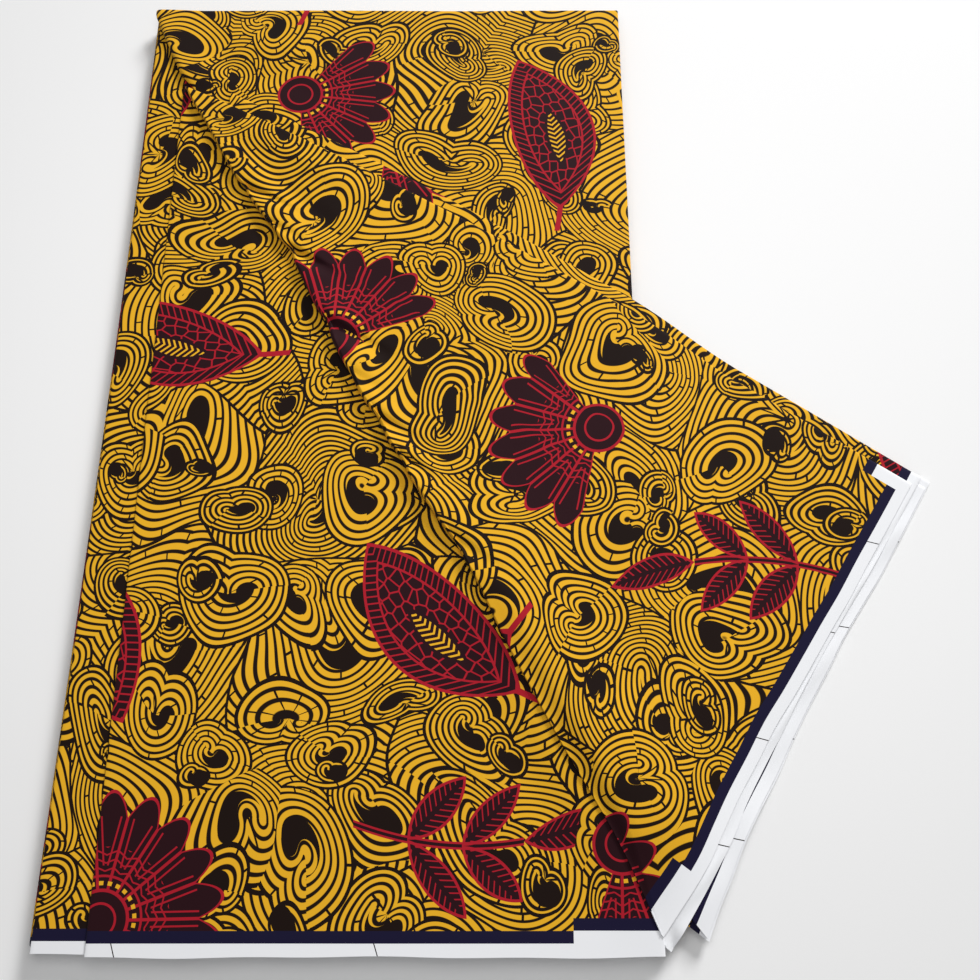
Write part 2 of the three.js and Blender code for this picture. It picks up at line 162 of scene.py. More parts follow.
# The turned-over edge lies on a soft slope near the corner: the front page is lifted beside it
# and the wing swells past it. Distance from the corner, lift of the front page, swell of the wing
SLOPE = [
    (0, 0.0, 0.0),
    (25, 1.0, 1.4),
    (60, 2.6, 4.2),
    (110, 3.6, 5.6),
    (165, 3.0, 4.8),
    (220, 1.6, 2.8),
    (280, 0.6, 1.0),
    (340, 0.0, 0.0),
]
LIFT = 1
SWELL = 2
LIFT_FOOT = 28.0  # from the edge to where the front page's lift has run out
LIFT_TUCK = 8.0  # and how far in under the wing it runs out
SWELL_CREST = 13.0  # from the edge to the top of the wing's swell
SWELL_FOOT = 64.0  # from the edge to where that swell has run out
SWELL_SIDE = 30.0  # from the wing's selvedge to where the swell is full

# The plies under the wing: name, number, near end and far end as shares of the wing's length,
# how far the selvedge reaches past the rest of the near end, where its own print starts along
# the cloth, and how far that print lies inwards at the corner
PLIES = [
    ("wing_ply_2", 2, 0.002, 1.026, 1.0, 642, 0.0),
    ("wing_ply_3", 3, 0.0715, 1.012, 6.3, 1290, 3.0),
    ("wing_ply_4", 4, 0.052, 1.03, 1.5, 2015, 0.0),
]
UNDER_PLY = 2  # this one reaches in under the wing, the others end beside the stack
SLANT_SHARE = 0.1  # share of the wing's length over which the slanted end evens out
PRINT_SHARE = 0.2  # and over which the print comes back to the selvedge

# Where the selvedges of the wing and of plies 2, 3 and 4 lie, at shares of the wing's length:
# how far each stands out to the right of a straight line from the corner to the tip
SELVEDGES = [
    (0.0, -4.6, 3.2, 19.0, 20.2),
    (0.06, -3.0, 4.0, 16.2, 17.2),
    (0.11, -1.5, 4.6, 14.0, 15.1),
    (0.16, -0.7, 4.9, 12.6, 14.0),
    (0.22, -1.4, 4.9, 10.6, 11.9),
    (0.28, -1.9, 3.5, 10.2, 11.4),
    (0.36, -1.4, 3.3, 10.6, 12.0),
    (0.43, -1.5, 3.4, 9.8, 10.9),
    (0.5, -0.2, 2.9, 9.4, 10.5),
    (0.58, 0.7, 3.3, 9.6, 10.6),
    (0.65, 1.4, 3.9, 9.2, 10.1),
    (0.72, 2.4, 5.0, 10.4, 11.4),
    (0.8, 2.6, 6.2, 12.0, 13.0),
    (0.9, 3.4, 6.8, 12.1, 13.1),
    (1.0, 3.9, 7.2, 12.4, 13.6),
]

# Where the outer plies' selvedges curl up: share of the length, half width in it, rise
CURLED_UP = [
    (0.26, 0.09, 2.4),
    (0.63, 0.08, 1.3),
    (0.9, 0.04, 0.9),
]

# Waves in the plies' steps: height, radians along the wing, and shift from ply to ply
LOOSE_WAVES = [
    (0.5, 23, 2.1),
    (0.35, 41, 1.0),
]
LOOSE_RISE = 0.9

# How the plies lie near the stack
PLY_CLEAR = 2.0  # a ply beside the stack starts this far past the corner
PLY_INSET = 16.0  # the ply under the wing keeps this far from the turned-over edge
PLY_INSIDE = 60.0  # and u that it reaches in to
UNDER_FROM = 0.3  # share of the wing's length where it starts to reach in
UNDER_SPAN = 0.15  # and share over which it does
TURN_DOWN = 4.5  # how far the second ply turns down beside the stack at the corner
TURN_SIDE = 4.0  # u over which it turns down
TURN_SHARE = 0.045  # share of the wing's length over which it comes up again
TURN_EASE = 1.5  # above 1, it comes up sooner

# Folds, and how the cloth curls over them
FOLD_CURL = 1.1  # how far in from a fold's edge the cloth starts to turn down
FOLD_DEPTH = 1.0  # how far down it turns
CURL_ROOM = 1.2 * FOLD_CURL  # rows and columns of even spacing stop this far from a fold
FOLD_SHARES = np.array([0.6, 0.3, 0.1, 0.0])  # the wing's last rows, in parts of the curl
ROW_GAP = 0.002  # least share of the wing's length between two rows
SMOOTH_ANGLE = math.radians(50)
STACK_SMOOTH_ANGLE = math.radians(35)

# Rows and columns of the sheets
PAGE_ROWS = 150
PAGE_COLUMNS = 130
FOLD_COLUMNS = np.array([0.0005, 0.001, 0.0018, 0.0028])
CURL_ROWS = 6
WING_ROWS = 171
PLY_ROWS = 131
POINT_SHARES = [0.012, 0.0135, 0.0155]  # the wing's first rows, at its point
POINT_END = 0.018
LIP_COLUMNS = 15
FADE_COLUMNS = 37
FLAT_COLUMNS = 61
UNDER_COLUMNS = 9
BESIDE_COLUMNS = 3
OUTER_COLUMNS = 25
STEP_COLUMNS = 15

# How the wing's soft lip is rounded
LIP_TURN = np.radians(np.linspace(250, 90, LIP_COLUMNS))
LIP_WIDTH = 0.42  # half its width, as a share of its height
LIP_LIMIT = 0.15  # and at most this share of a row
FADE_LIMIT = 0.3  # the lip levels out within this share of a row
BRINK_GAP = 0.05  # share of a row kept between the lip and the way down
ROW_MARGIN = 0.02  # share of a row kept clear at its two ends
RELIEF_START = 12.0  # from the edge to where creases have their full height
POINT_CALM = 0.06  # share of the wing's length over which creases fade towards its point

# How the inner page lies
INNER_NEAR = 70.0  # v where it starts, under the wing
INNER_SET_BACK = 5.0  # its left side stands in this far where the wing covers it
NECK_LEAD = 6.0  # v before the wing's fold where its roll starts to grow
NECK_REACH = 16.0  # v over which it grows
NECK_ROLL = 4.0  # half the roll's width
NECK_RISE = 0.8  # the roll's height, as a share of the lip's
NECK_SINK = 1.2  # taken off the lip's height first
NECK_ROOM = 60.0  # a page narrower than this has its roll scaled down
NECK_FADE = 32.0  # from the roll to where it has levelled out
NECK_COLUMNS = 9
NECK_EASE = 1.3  # above 1, columns lie closer beside the roll
INNER_FOLD_SHARES = np.array([0.7, 0.4, 0.15, 0])

# The pages under the uppermost one
STACK_PAGES = 14
PAGE_SLIP = 1.3  # most that a page stands in at one side
STACK_SET = 0.3  # least that every page does
PAGE_PRINT_STEP = 37  # the print shifts this far along the cloth from page to page
SIDE_PRINT = 4  # and starts this far in from the selvedge
# Each page's side: share of its height, and how far it stands in
PAGE_SIDE = [
    (0.02, 0.6),
    (0.12, 0.15),
    (0.3, 0),
    (0.7, 0),
    (0.88, 0.15),
    (0.98, 0.6),
]
# The stack's corners, as shares of its width and length
STACK_CORNERS = [(0, 0), (1, 0), (1, 1), (0, 1)]
CORNER_STEPS = 6
SIDE_STEPS = 34
MERGE = 0.00001  # metres between points of the stack that are one

# Where the print of the two flat pages starts along the cloth and from its selvedge
STACK_PRINT = (1180, 0)
FRONT_PRINT = (0, 1)


def smooth(x):
    """0 up to 0 and 1 from 1, with a soft change between."""
    x = np.clip(x, 0, 1)
    return x * x * (3 - 2 * x)


def mix(a, b, t):
    return a + (b - a) * t


def unit(vector):
    return vector / np.hypot(*vector)


EDGE_DIRECTION = unit(FAR_LEFT - CORNER)
EDGE_RIGHT = np.array([EDGE_DIRECTION[1], -EDGE_DIRECTION[0]])
TIP_DIRECTION = unit(WING_TIP - CORNER)
TIP_OUTWARD = np.array([TIP_DIRECTION[1], -TIP_DIRECTION[0]])


def read_table(table, column, at):
    """Reads one column of a table at a value of its first column, on a smooth curve."""
    table = np.array(table, float)
    ats, values = table[:, 0], table[:, column]
    padded = np.concatenate([[0], np.arange(len(ats)), [len(ats) - 1]])
    slopes = (values[padded[2:]] - values[padded[:-2]]) / (ats[padded[2:]] - ats[padded[:-2]])
    at = np.clip(at, ats[0], ats[-1])
    row = np.clip(np.searchsorted(ats, at) - 1, 0, len(ats) - 2)
    span = ats[row + 1] - ats[row]
    t = (at - ats[row]) / span
    leave = slopes[row] * span * t * (1 - t) ** 2
    arrive = slopes[row + 1] * span * t * t * (1 - t)
    return mix(values[row], values[row + 1], smooth(t)) + leave - arrive


def edge_value(column, at):
    return read_table(EDGE_TABLE, column, at)


def selvedge_out(number, share):
    """How far the selvedge of the wing (1) or of a ply under it stands out at a share."""
    return read_table(SELVEDGES, number, share)


def pinch_at(at, into=0.0):
    """How deep the lip's pinches are at a distance along it, and at one into the wing."""
    depth = np.zeros_like(np.asarray(at, float) + into)
    for place, deep, reach, half in PINCHES:
        fade = 1 - smooth(into / reach)
        depth = depth + deep * fade * np.exp(-(((at - place) / half) ** 2))
    return depth


def edge_point(at, right=0.0):
    at = np.asarray(at, float)
    stray = edge_value(STRAY, at) + right + PINCH_PULL * pinch_at(at)
    return CORNER + at[..., None] * EDGE_DIRECTION + stray[..., None] * EDGE_RIGHT


def wing_point(share, across):
    """A plan point on the wing: across runs from the turned-over edge at 0 to the selvedge at 1."""
    across = np.asarray(across, float)
    left = edge_point(share * WING_EDGE)
    right = mix(CORNER, WING_TIP, share) + selvedge_out(1, share) * TIP_OUTWARD
    bow = FOLD_BOW * share * share * np.sin(math.pi * np.clip(across, 0, 1) ** BOW_SKEW)
    return mix(left, right, across[..., None]) + bow[..., None] * TIP_DIRECTION


def wing_height(point):
    """The height of the wing's upper face, away from its lip."""
    climb = smooth(np.linalg.norm(point - CORNER, axis=-1) / RISE_LENGTH)
    on_stack = mix(FRONT_TOP + SEAM + POINT_RISE, WING_TOP, climb)
    return mix(on_stack, TABLE_TOP, smooth((point[..., 0] - EDGE_OF_STACK) / DROP_LENGTH))


def across_at(share, u):
    """Where a row of the wing passes u, kept clear of the row's two ends."""
    left, right = wing_point(share, 0)[0], wing_point(share, 1)[0]
    return float(np.clip((u - left) / (right - left), ROW_MARGIN, 1 - ROW_MARGIN))


def crease_relief(points, creases):
    """The rise of listed soft creases at plan points."""
    rise = np.zeros(points.shape[:-1])
    for u0, v0, u1, v1, half, height in creases:
        start, along = np.array([u0, v0], float), np.array([u1 - u0, v1 - v0], float)
        t = ((points - start) @ along) / (along @ along)
        gap = np.linalg.norm(points - start - np.clip(t, 0, 1)[..., None] * along, axis=-1)
        wave = np.clip(t * (1 - 2 * CREASE_END) + CREASE_END, 0, 1)
        taper = np.sin(math.pi * wave) ** CREASE_FULLNESS
        rise += height * taper * np.exp(-((gap / half) ** 2))
    return rise


def from_edge(points):
    """Distance along the turned-over edge, and to the right of it, of plan points."""
    from_corner = points - CORNER
    at = np.clip(from_corner @ EDGE_DIRECTION, 0, EDGE_LENGTH)
    return at, from_corner @ EDGE_RIGHT - edge_value(STRAY, at)


def front_lift(points):
    """The lift of the front page beside the turned-over edge near the corner."""
    at, right = from_edge(points)
    lift = read_table(SLOPE, LIFT, at)
    return lift * (1 - smooth(-right / LIFT_FOOT)) * (1 - smooth(right / LIFT_TUCK))


def wing_swell(points):
    """The swell of the wing past the turned-over edge near the corner."""
    at, right = from_edge(points)
    rise = smooth(right / SWELL_CREST)
    run_out = 1 - smooth((right - SWELL_CREST) / (SWELL_FOOT - SWELL_CREST))
    return read_table(SLOPE, LIFT, at) * (1 - rise) + read_table(SLOPE, SWELL, at) * rise * run_out


def slack(points, seed):
    """Very gentle unevenness of cloth lying loose."""
    u, v = points[..., 0], points[..., 1]
    sway = SWAY * np.sin(v / SWAY_LENGTH + seed)
    broad = np.sin(u / BROAD_ACROSS + sway) * np.sin(v / BROAD_ALONG + seed)
    patches = np.sin(u / PATCH_ACROSS + v / PATCH_ALONG - seed)
    fine = np.sin(u / FINE_ACROSS - v / FINE_ALONG + 2 * seed) * patches
    return BROAD_RISE * broad + FINE_RISE * fine


def deselect():
    bpy.ops.object.select_all(action="DESELECT")


def pick(piece):
    """Leaves one piece selected and active."""
    deselect()
    bpy.context.view_layer.objects.active = piece
    piece.select_set(True)


def cloth_grid(name, points, cloth):
    """A sheet whose rows and columns follow points, with the cloth's own flat places as its UV."""
    rows, columns = points.shape[0] - 1, points.shape[1] - 1
    deselect()
    bpy.ops.mesh.primitive_grid_add(x_subdivisions=columns, y_subdivisions=rows, size=1)
    piece = bpy.context.active_object
    piece.name = name
    mesh = piece.data
    mesh.name = name
    flat = np.empty(len(mesh.vertices) * 3)
    mesh.vertices.foreach_get("co", flat)
    flat = flat.reshape(-1, 3)
    column = np.rint((flat[:, 0] + 0.5) * columns).astype(int)
    row = np.rint((flat[:, 1] + 0.5) * rows).astype(int)
    placed = (points[row, column] + STACK_CORNER) * MM
    mesh.vertices.foreach_set("co", placed.ravel())
    corner_vertex = np.empty(len(mesh.loops), int)
    mesh.loops.foreach_get("vertex_index", corner_vertex)
    uv = cloth[row, column][corner_vertex] * MM
    mesh.uv_layers[0].name = "cloth"
    mesh.uv_layers[0].data.foreach_set("uv", uv.ravel())
    mesh.update()
    return piece


def thicken(piece):
    """Gives a sheet the thickness of the cloth, under its upper face."""
    pick(piece)
    wall = piece.modifiers.new("Cloth", "SOLIDIFY")
    wall.thickness = CLOTH * MM
    wall.offset = -1
    bpy.ops.object.modifier_apply(modifier=wall.name)
    bpy.ops.object.shade_smooth_by_angle(angle=SMOOTH_ANGLE)
    return piece


def run_length(points):
    """Distance along each row of points from its last column back to its first."""
    steps = np.linalg.norm(np.diff(points, axis=1), axis=-1)
    back = np.cumsum(steps[:, ::-1], axis=1)[:, ::-1]
    return np.concatenate([back, np.zeros((len(points), 1))], axis=1)


def rows_to_fold(near, far):
    """Rows of a page, evenly spaced, with a few close ones where it curls over its far fold."""
    even = np.linspace(near, far, PAGE_ROWS + 1)
    curl = FOLD_CURL * (1 - np.cos(np.linspace(0, QUARTER_TURN, CURL_ROWS)))
    return np.concatenate([even[even < far - CURL_ROOM], far - curl[:-1][::-1]])


def shares_to_fold(shares, end):
    """Rows of the wing or of a ply, with a few close ones where it curls over its far fold."""
    last = end - FOLD_CURL / WING_SPAN * FOLD_SHARES
    return np.concatenate([shares[shares < last[0] - ROW_GAP], last])


def curl_drop(distance):
    """How far a page's face has turned down at a distance in from its fold."""
    x = 1 - np.clip(distance / FOLD_CURL, 0, 1)
    return FOLD_DEPTH * (1 - np.sqrt(np.clip(1 - x * x, 0, 1)))


def flat_page(name, level, sides, creases, seed, print_start, lifted=False):
    """A page lying flat between its sides: left and right give u at each v."""
    near, far = sides["near"], sides["far"]
    v = rows_to_fold(near, far)[:, None]
    left, right = sides["left"](v), sides["right"](v)
    columns = np.linspace(0, 1, PAGE_COLUMNS + 1)
    columns = np.sort(np.concatenate([columns, FOLD_COLUMNS, 1 - FOLD_COLUMNS]))
    u = mix(left, right, columns)
    uneven = sum(rise * np.sin(u / length + turn * seed) for rise, length, turn in SELVEDGE_WAVES)
    plan = np.stack([u, v + uneven * (1 - smooth((v - near) / SELVEDGE_CALM))], axis=-1)
    z = level + crease_relief(plan, creases) + slack(plan, seed)
    if lifted:
        z = z + front_lift(plan)
    z = z - curl_drop(u - left) - curl_drop(right - u) - curl_drop(far - plan[..., 1])
    points = np.concatenate([plan, z[..., None]], axis=-1)
    return thicken(cloth_grid(name, points, plan + np.array(print_start, float)))


def left_fold(v):
    """The stack's left fold, which bows in a little."""
    wave = math.pi * LEFT_BOW_SPAN * np.clip(v, 0, HALF_WIDTH) / HALF_WIDTH
    return LEFT_STAND + LEFT_BOW * np.sin(wave)


def front_fold(v):
    return mix(FRONT_FOLD_LOW, FRONT_FOLD_HIGH, v / HALF_WIDTH)


def level_line(u):
    return lambda v: np.full_like(v, u)


def stack_page():
    sides = {"near": 0, "far": HALF_WIDTH, "left": left_fold, "right": level_line(PAGE_WIDTH + TOP_MARGIN)}
    return flat_page("stack_page_cloth", STACK_PAGE_TOP, sides, [], PAGE_SEEDS["stack"], STACK_PRINT)


def front_page():
    sides = {"near": -SELVEDGE_SLIP, "far": HALF_WIDTH - SELVEDGE_SLIP,
             "left": front_fold, "right": level_line(CORNER[0] - PAGE_GAP)}
    return flat_page("front_page_cloth", FRONT_TOP, sides, FRONT_CREASES, PAGE_SEEDS["front"],
                     FRONT_PRINT, lifted=True)


def inner_row(v, neck):
    """One row of the inner page, from its roll in the neck to its right fold."""
    at = float(np.clip((v - CORNER[1]) / EDGE_DIRECTION[1], 0, EDGE_LENGTH))
    in_neck = float(smooth((v - neck + NECK_LEAD) / NECK_REACH))
    lip = edge_value(LIP, at) - NECK_SINK
    left = edge_point(at, mix(INNER_SET_BACK, 0, in_neck))[0]
    right = CORNER[0] - PAGE_GAP
    room = min(1, (right - left) / NECK_ROOM)
    roll = NECK_ROLL * room
    turn = np.linspace(0, QUARTER_TURN, NECK_COLUMNS)
    roll_u = left + roll * (1 - np.cos(turn))
    roll_z = lip * np.sin(turn) - SEAM * (1 - np.sin(turn))
    flat_u = mix(left + roll, right - CURL_ROOM, np.linspace(0, 1, PAGE_COLUMNS + 1)[1:] ** NECK_EASE)
    flat_u = np.concatenate([flat_u, right - FOLD_CURL * INNER_FOLD_SHARES])
    settle = lip * (1 - smooth((flat_u - left - roll) / (NECK_FADE * room)))
    u = np.concatenate([roll_u, flat_u])
    plan = np.stack([u, np.full_like(u, v)], axis=-1)
    z = INNER_TOP + in_neck * NECK_RISE * np.concatenate([roll_z, settle])
    z = z + crease_relief(plan, INNER_CREASES) + slack(plan, PAGE_SEEDS["inner"])
    z = z - curl_drop(right - u) - curl_drop(HALF_WIDTH - v)
    return np.concatenate([plan, z[:, None]], axis=-1)


def inner_page():
    """The page's far half: its left side follows the turned-over edge and rolls over in the neck."""
    neck = CORNER[1] + WING_EDGE * EDGE_DIRECTION[1]
    points = np.array([inner_row(v, neck) for v in rows_to_fold(INNER_NEAR, HALF_WIDTH)])
    cloth = np.stack([2 * CORNER[0] - points[..., 0], points[..., 1]], axis=-1)
    return thicken(cloth_grid("inner_page_cloth", points, cloth))


def wing_row(share):
    """One row of the wing, from under its soft lip to its selvedge."""
    at = share * WING_EDGE
    length = float(np.hypot(*(wing_point(share, 0) - wing_point(share, 1))))
    base = FRONT_TOP + SEAM
    lip = float(edge_value(LIP, at) - PINCH_SINK * pinch_at(at))
    half = min(lip * LIP_WIDTH, length * LIP_LIMIT)
    roll_plan = wing_point(share, half * (1 + np.cos(LIP_TURN)) / length)
    roll_z = base + lip / 2 * (1 + np.sin(LIP_TURN)) + read_table(SLOPE, LIFT, at)
    edge = half / length
    faded = edge + min(LIP_FADE / length, FADE_LIMIT)
    brink = max(across_at(share, EDGE_OF_STACK), faded + BRINK_GAP)
    across = np.concatenate([
        np.linspace(edge, faded, FADE_COLUMNS)[1:],
        np.linspace(faded, brink, FLAT_COLUMNS)[1:],
        np.linspace(brink, 1, FLAT_COLUMNS)[1:],
    ])
    into = across * length
    plan = wing_point(share, across)
    away = (into - half) / min(LIP_FADE, length * FADE_LIMIT)
    start = wing_height(wing_point(share, 0))
    z = wing_height(plan) + (base + lip - start) * (1 - smooth(away))
    z = z - pinch_at(at, into) * smooth(into / PINCH_START)
    relief = crease_relief(plan, WING_CREASES) + slack(plan, PAGE_SEEDS["wing"])
    z = z + relief * smooth(into / RELIEF_START) * smooth(share / POINT_CALM)
    z = z + wing_swell(plan) * smooth((1 - across) * length / SWELL_SIDE)
    plan = np.concatenate([roll_plan, plan])
    return np.concatenate([plan, np.concatenate([roll_z, z])[:, None]], axis=-1)


def wing_cloth(points, shares, inwards=0.0):
    """Flat cloth places of rows that run square to the selvedge."""
    along = shares[:, None] * np.hypot(*(WING_TIP - CORNER))
    v = run_length(points) - inwards
    return np.stack([np.broadcast_to(CORNER[0] + along, v.shape), v], axis=-1)


def wing_page():
    shares = np.concatenate([POINT_SHARES, np.linspace(POINT_END, 1, WING_ROWS)])
    shares = shares_to_fold(shares, 1)
    points = np.array([wing_row(share) for share in shares])
    points[..., 2] -= curl_drop((1 - shares) * WING_SPAN)[:, None]
    return thicken(cloth_grid("wing_page_cloth", points, wing_cloth(points, shares)))


def ply_columns(number, share):
    """Where a ply's columns lie across a row of the wing, up to the wing's selvedge."""
    begin = across_at(share, CORNER[0] + PLY_CLEAR)
    inner = BESIDE_COLUMNS
    if number == UNDER_PLY:
        inside = max(PLY_INSET / EDGE_LENGTH, across_at(share, PLY_INSIDE))
        begin = mix(begin, inside, float(smooth((share - UNDER_FROM) / UNDER_SPAN)))
        inner = UNDER_COLUMNS
    brink = max(across_at(share, EDGE_OF_STACK), begin)
    return np.concatenate([np.linspace(begin, brink, inner)[:-1], np.linspace(brink, 1, OUTER_COLUMNS)])


def ply_row(number, share, start, end, slant):
    """One row of a ply: under the wing or beside the stack, then out in its step past the wing."""
    across = ply_columns(number, share)
    flush = np.zeros(len(across))
    plan = wing_point(share, across)
    out = np.linspace(0, 1, STEP_COLUMNS)[1:]
    step = selvedge_out(number, share) - selvedge_out(1, share)
    ahead = slant * (1 - smooth((share - start) / SLANT_SHARE)) * out
    past = plan[-1] + out[:, None] * step * TIP_OUTWARD - ahead[:, None] * TIP_DIRECTION
    plan = np.concatenate([plan, past])
    z = wing_height(plan) - (number - 1) * LAYER - curl_drop((end - share) * WING_SPAN)
    loose = sum(rise * math.sin(count * share + shift * number) for rise, count, shift in LOOSE_WAVES)
    z = z + LOOSE_RISE * loose * np.concatenate([flush, np.sin(math.pi * out)])
    if number == UNDER_PLY:
        beside_stack = smooth((plan[:, 0] - CORNER[0]) / TURN_SIDE)
        z = z - TURN_DOWN * beside_stack * (1 - smooth((share - start) / TURN_SHARE)) ** TURN_EASE
    else:
        curl = sum(rise * math.exp(-(((share - place) / half) ** 2)) for place, half, rise in CURLED_UP)
        z = z + curl * np.concatenate([flush, out ** 2])
    return np.concatenate([plan, z[:, None]], axis=-1)


def wing_ply(name, number, start, end, slant, print_start, print_in):
    """A ply under the wing, its selvedge stepped out past the one above it."""
    shares = shares_to_fold(np.linspace(start, end, PLY_ROWS), end)
    points = np.array([ply_row(number, share, start, end, slant) for share in shares])
    inwards = print_in * (1 - smooth(shares / PRINT_SHARE))[:, None]
    cloth = wing_cloth(points, shares, inwards) + np.array([print_start - CORNER[0], 0])
    return thicken(cloth_grid(name + "_cloth", points, cloth))


def stack_outline(inset, z):
    """The stack's outline at one level, stood in at its left, right, near and far sides."""
    left, right, near, far = inset
    low = np.array([left, near]) + CORNER_ROUND
    high = np.array([PAGE_WIDTH + STACK_MARGIN - right, HALF_WIDTH - far]) - CORNER_ROUND
    loop = []
    for k, corner in enumerate(STACK_CORNERS):
        centre = np.where(corner, high, low)
        turn = math.pi + QUARTER_TURN * (k + np.linspace(0, 1, CORNER_STEPS))
        loop.append(centre + CORNER_ROUND * np.stack([np.cos(turn), np.sin(turn)], axis=-1))
        leave = loop[-1][-1]
        following = np.where(STACK_CORNERS[(k + 1) % len(STACK_CORNERS)], high, low)
        t = np.linspace(0, 1, SIDE_STEPS)[1:-1, None]
        loop.append(mix(leave, following + (leave - centre), t))
    points = np.concatenate(loop)
    points[:, 0] += np.where(points[:, 0] < PAGE_WIDTH / 2, left_fold(points[:, 1]) - LEFT_SET, 0)
    return np.column_stack([points, np.full(len(points), z)])


def folded_stack():
    """The pages under the uppermost one: a block whose sides show every page."""
    pitch = STACK_HEIGHT / STACK_PAGES
    rng = np.random.default_rng(7)
    loops = []
    for page in range(STACK_PAGES):
        loose = rng.uniform(0, PAGE_SLIP, 4)
        for level, groove in PAGE_SIDE:
            loops.append(stack_outline(loose + groove + STACK_SET, (page + level) * pitch))
    loops = np.array(loops)
    closed = np.concatenate([loops, loops[:, :1]], axis=1)
    shift = PAGE_PRINT_STEP * np.arange(len(loops))[:, None] // len(PAGE_SIDE)
    cloth = np.stack([closed[..., 0] + shift, closed[..., 1] + SIDE_PRINT], axis=-1)
    piece = cloth_grid("folded_stack_cloth", closed, cloth)
    pick(piece)
    bpy.ops.object.mode_set(mode="EDIT")
    bpy.ops.mesh.select_all(action="SELECT")
    bpy.ops.mesh.remove_doubles(threshold=MERGE)
    bpy.ops.mesh.select_all(action="DESELECT")
    bpy.ops.mesh.select_mode(type="EDGE")
    bpy.ops.mesh.select_non_manifold()
    bpy.ops.mesh.edge_face_add()
    bpy.ops.mesh.select_all(action="SELECT")
    bpy.ops.mesh.normals_make_consistent(inside=False)
    bpy.ops.object.mode_set(mode="OBJECT")
    bpy.ops.object.shade_smooth_by_angle(angle=STACK_SMOOTH_ANGLE)
    return piece


# The print's ground, in millimetres of flat cloth
LINE_HALF = 0.76  # half the width of a printed line
LINE_SOFT = 0.14  # softness of its sides
RUNGS = 4.0  # short marks across a band of the ground, to half a turn
RUNG_HALF = 0.55
RUNG_CHANCE = 0.5  # share of the bands that have none
RUNG_TURN = 40.0  # how far the marks are turned from band to band
RIM_WIDTH = 1.2  # dark rim round curls that lie over others
RIM_REACH = 0.5  # how far it reaches past them
UNEVEN = 0.6  # how uneven the layout of the curls is, from 0 to 1
LOPSIDED = 0.1  # widens the curls' lines to one side
SEED_HALF = 2.3  # half the width of the dark arc in a curl
SEED_FATTER = 1.5  # and how much wider it is at one end
DRIFT = 28.0  # how far the ground's places wander
DRIFT_LENGTH = 64.0
# Least, and what chance adds to it: the arc's half angle, its size and the lines' pitch
ARC_SPREAD = (0.8, 1.3)
ARC_SIZE = (0.65, 0.7)
PITCH_SPREAD = (0.85, 0.3)
# Families of curls, each over the ones before: shift, spacing, lines, their pitch and the arc's radius
CURL_FAMILIES = [
    ((-19, 44, 0), 92.0, 40.0, 3.8, 15.0),
    ((31, 17, 0), 62.0, 4.0, 3.5, 8.0),
    ((8, -23, 0), 70.0, 5.0, 3.5, 8.5),
    ((47, 9, 0), 88.0, 2.0, 3.0, 4.0),
]

# The motifs' layout, and the shares of chance that make a leaf and a sprig
MOTIF_SPACING = 158.0
MOTIF_UNEVEN = 0.42
LEAF_BELOW = 0.45
SPRIG_ABOVE = 0.76

# The broad leaf, about the middle of its length
LEAF_HALF_LENGTH = 60
LEAF_HALF_WIDTH = 27
LEAF_BEND = 0.0028
LEAF_RIM = 1.7
LEAF_BORDER = 9.0  # width of the border with veins
LEAF_STEM = (-66, 9, 1.8)  # middle, half length and half width
LEAF_VEINS = (-0.7, 4.4, 0.5)  # slant, pitch and half width
LEAF_NET = (7.5, 0.5, 1.25, 0.55)  # mesh, half line, squeeze across and unevenness
LEAF_NET_EDGE = 0.6
LEAF_EYE = (6.0, 1.0, 21, 5.5)  # set back, set across, half length and half width
LEAF_EYE_RIM = 1.4
LEAF_EYE_STROKES = (0.4, 3.6, 0.7)  # inset, pitch and half width

# The open flower, from the middle of its base
PETALS = 7
FAN_SPREAD = 1.2  # half the angle that the petals take up
FAN_SHIFT = 32.0  # from the cell's middle to the flower's base
PETAL_SIDE = 50.0
PETAL_HUMP = 13.0  # how much further a petal reaches in its middle
PETAL_LINE = 0.75
PETAL_RIM = 1.7
FAN_BASE = 15
FAN_BARE = 13.4  # no crimson of the petals nearer than this
FAN_VEINS = (3.4, 0.45, 38, 12)  # from the petal's side, half width, middle and half length
FAN_RIBS = (0.5, 4.2, 0.45, 29, 6)  # slant, pitch, half width, middle and half length
FAN_RINGS = [(21, 0.6), (14.2, 0.8)]
FAN_BEADS = (17.6, 1.0, 4.4, 1.1)  # radius, half width, pitch and half length
FAN_SEEDS = (8, 0.6)  # radius and half width

# The sprig's leaves, a pair each but for the last: start, lean, half length and half width
SPRIG_LEAVES = [
    (-34.0, 0.85, 23.0, 8.5),
    (-6.0, 0.75, 21.0, 8.0),
    (26.0, 0.0, 24.0, 9.0),
]
SPRIG_BEND = -0.003
SPRIG_STEM = (-18, 44, 1.9)  # middle, half length and half width
SPRIG_STEM_CORE = 0.8
SPRIG_VEINS = (-0.8, 3.8, 0.42)  # slant, pitch and half width
SPRIG_MIDRIB = 1.2
SPRIG_RIM = 1.4

# The selvedge, inwards from the cloth's edge
WHITE_BAND = 6.3
NAVY_BAND = 12.1
MARK_SPACING = 131.0
MARK_HALF = 0.28
MARK_SLANT = 0.35
MARK_START = -46.0
BARE_BOXES = [(274.5, 358.5, 12.2), (605, 626, 22.0), (626, 668, 14.0)]  # start, end, depth

# The plain weave and the cotton's finish
WEAVE_SCALE = 0.9  # makes it 0.35 mm from thread to thread
THREAD_STRENGTH = 0.12
THREAD_DEPTH = 0.0001  # in metres
COTTON_ROUGHNESS = 0.7
COTTON_SHINE = 0.1
COTTON_SHEEN = 0.04


def linear(red, green, blue):
    """A shader colour from the printed colour as it looks, each channel 0 to 255."""
    def channel(value):
        value /= 255
        return value / 12.92 if value <= 0.04045 else ((value + 0.055) / 1.055) ** 2.4
    return (channel(red), channel(green), channel(blue), 1.0)


